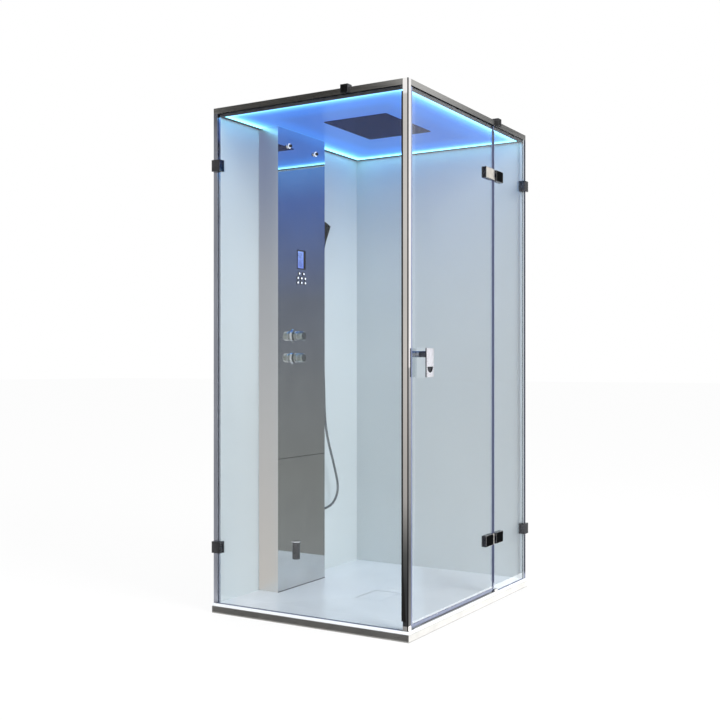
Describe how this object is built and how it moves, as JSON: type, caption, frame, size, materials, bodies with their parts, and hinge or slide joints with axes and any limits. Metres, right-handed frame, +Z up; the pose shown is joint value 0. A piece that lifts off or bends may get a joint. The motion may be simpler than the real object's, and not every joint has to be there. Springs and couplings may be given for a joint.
{
  "type": "steam shower cabin",
  "caption": "Corner steam shower cabin: two glass sides, one with a hinged glass door, on a low tray, with a lit ceiling, rain head and a shower column.",
  "frame": {"origin": "on the floor, under the middle of the tray and the enclosure above it", "axes": "+Z up, -Y out through the door, -X out through the fixed side pane, +Y to the wall with the shower column"},
  "size_m": [1.219, 1.007, 2.212],
  "materials": {
    "white_acrylic": "white sanitary acrylic, glossy",
    "steel_strip": "satin stainless steel strip",
    "grey_fittings": "moulded grey plastic",
    "wall_panel": "pale blue-grey glossy wall panel",
    "polished_aluminium": "bright polished aluminium profile",
    "black_rubber": "black rubber",
    "seal_rubber": "smoky translucent seal strip",
    "clear_glass": "clear tempered glass with a faint blue tint",
    "chrome": "bright chrome",
    "bright_steel": "stainless steel",
    "dark_aluminium": "dark anodised aluminium",
    "lit_acrylic": "acrylic lit from behind in blue-white",
    "roof_lid": "plain white moulded lid",
    "column_steel": "mirror-polished stainless sheet",
    "screen_plastic": "lit blue display",
    "brass": "machined brass and drawn tube",
    "black_plastic": "black glossy plastic"
  },
  "bodies": {
    "cabin": {"back_wall": "wall_panel", "ceiling_frame": "dark_aluminium", "ceiling_panel": "lit_acrylic", "clamp_screws": "bright_steel", "column_panel": "column_steel", "column_pipes": "brass", "column_shell": "column_steel", "control_box": "grey_fittings", "corner_bead": "black_rubber", "corner_post": "polished_aluminium", "display_screen": "screen_plastic", "fascias": "steel_strip", "front_glass": "clear_glass", "glass_seals": "black_rubber", "hand_outlet": "chrome", "handset_holder": "chrome", "hinge_pins": "bright_steel", "jets": "chrome", "led_strips": "lit_acrylic", "left_glass": "clear_glass", "lower_hinge_frame_leaf": "chrome", "mixer_body": "brass", "rail_clamps": "chrome", "rain_head_box": "bright_steel", "rain_head_plate": "bright_steel", "rear_top_rails": "polished_aluminium", "right_wall": "wall_panel", "roof_panel": "roof_lid", "shower_hose": "chrome", "steam_generator": "bright_steel", "steam_outlet": "chrome", "threshold": "polished_aluminium", "top_rail_front": "polished_aluminium", "top_rail_left": "polished_aluminium", "tray": "white_acrylic", "upper_hinge_frame_leaf": "chrome", "wall_clamps": "chrome", "wall_profile_left": "polished_aluminium", "wall_profile_right": "polished_aluminium", "waste_fittings": "grey_fittings"},
    "door": {"door_glass": "clear_glass", "door_magnet_seal": "seal_rubber", "door_drip_seal": "seal_rubber", "upper_hinge_door_leaf": "chrome", "lower_hinge_door_leaf": "chrome", "handle_plate": "chrome", "handle_knob": "chrome"},
    "flow_knob": {"flow_knob": "chrome"},
    "warm_knob": {"warm_knob": "chrome"},
    "handset": {"handset": "black_plastic", "hose_nut": "chrome"},
    "drain_cover": {"drain_cover": "white_acrylic"},
    "button_1": {"button_1": "chrome"},
    "button_2": {"button_2": "chrome"},
    "button_3": {"button_3": "chrome"},
    "button_4": {"button_4": "chrome"},
    "button_5": {"button_5": "chrome"},
    "button_6": {"button_6": "chrome"},
    "button_7": {"button_7": "chrome"},
    "button_8": {"button_8": "chrome"}
  },
  "joints": [
    {"name": "door_hinge", "type": "hinge", "parent": "cabin", "child": "door", "pos_m": [0.218, -0.4745, 1.118], "axis": [0, 0, 1], "range_deg": [0, 90]},
    {"name": "flow_knob_turn", "type": "hinge", "parent": "cabin", "child": "flow_knob", "pos_m": [-0.154, 0.331, 1.216], "axis": [0, -1, 0], "range_deg": [-90, 90]},
    {"name": "warm_knob_turn", "type": "hinge", "parent": "cabin", "child": "warm_knob", "pos_m": [-0.154, 0.331, 1.114], "axis": [0, -1, 0], "range_deg": [-135, 135]},
    {"name": "handset_lift", "type": "slide", "parent": "cabin", "child": "handset", "axis": [0.342, 0, 0.9397], "range_m": [0, 0.09]},
    {"name": "drain_cover_lift", "type": "slide", "parent": "cabin", "child": "drain_cover", "axis": [0, 0, 1], "range_m": [0, 0.05]},
    {"name": "button_1_press", "type": "slide", "parent": "cabin", "child": "button_1", "axis": [0, 1, 0], "range_m": [0, 0.0015], "stiffness_N_per_m": 500, "springref_m": -0.001},
    {"name": "button_2_press", "type": "slide", "parent": "cabin", "child": "button_2", "axis": [0, 1, 0], "range_m": [0, 0.0015], "stiffness_N_per_m": 500, "springref_m": -0.001},
    {"name": "button_3_press", "type": "slide", "parent": "cabin", "child": "button_3", "axis": [0, 1, 0], "range_m": [0, 0.0015], "stiffness_N_per_m": 500, "springref_m": -0.001},
    {"name": "button_4_press", "type": "slide", "parent": "cabin", "child": "button_4", "axis": [0, 1, 0], "range_m": [0, 0.0015], "stiffness_N_per_m": 500, "springref_m": -0.001},
    {"name": "button_5_press", "type": "slide", "parent": "cabin", "child": "button_5", "axis": [0, 1, 0], "range_m": [0, 0.0015], "stiffness_N_per_m": 500, "springref_m": -0.001},
    {"name": "button_6_press", "type": "slide", "parent": "cabin", "child": "button_6", "axis": [0, 1, 0], "range_m": [0, 0.0015], "stiffness_N_per_m": 500, "springref_m": -0.001},
    {"name": "button_7_press", "type": "slide", "parent": "cabin", "child": "button_7", "axis": [0, 1, 0], "range_m": [0, 0.0015], "stiffness_N_per_m": 500, "springref_m": -0.001},
    {"name": "button_8_press", "type": "slide", "parent": "cabin", "child": "button_8", "axis": [0, 1, 0], "range_m": [0, 0.0015], "stiffness_N_per_m": 500, "springref_m": -0.001}
  ]
}
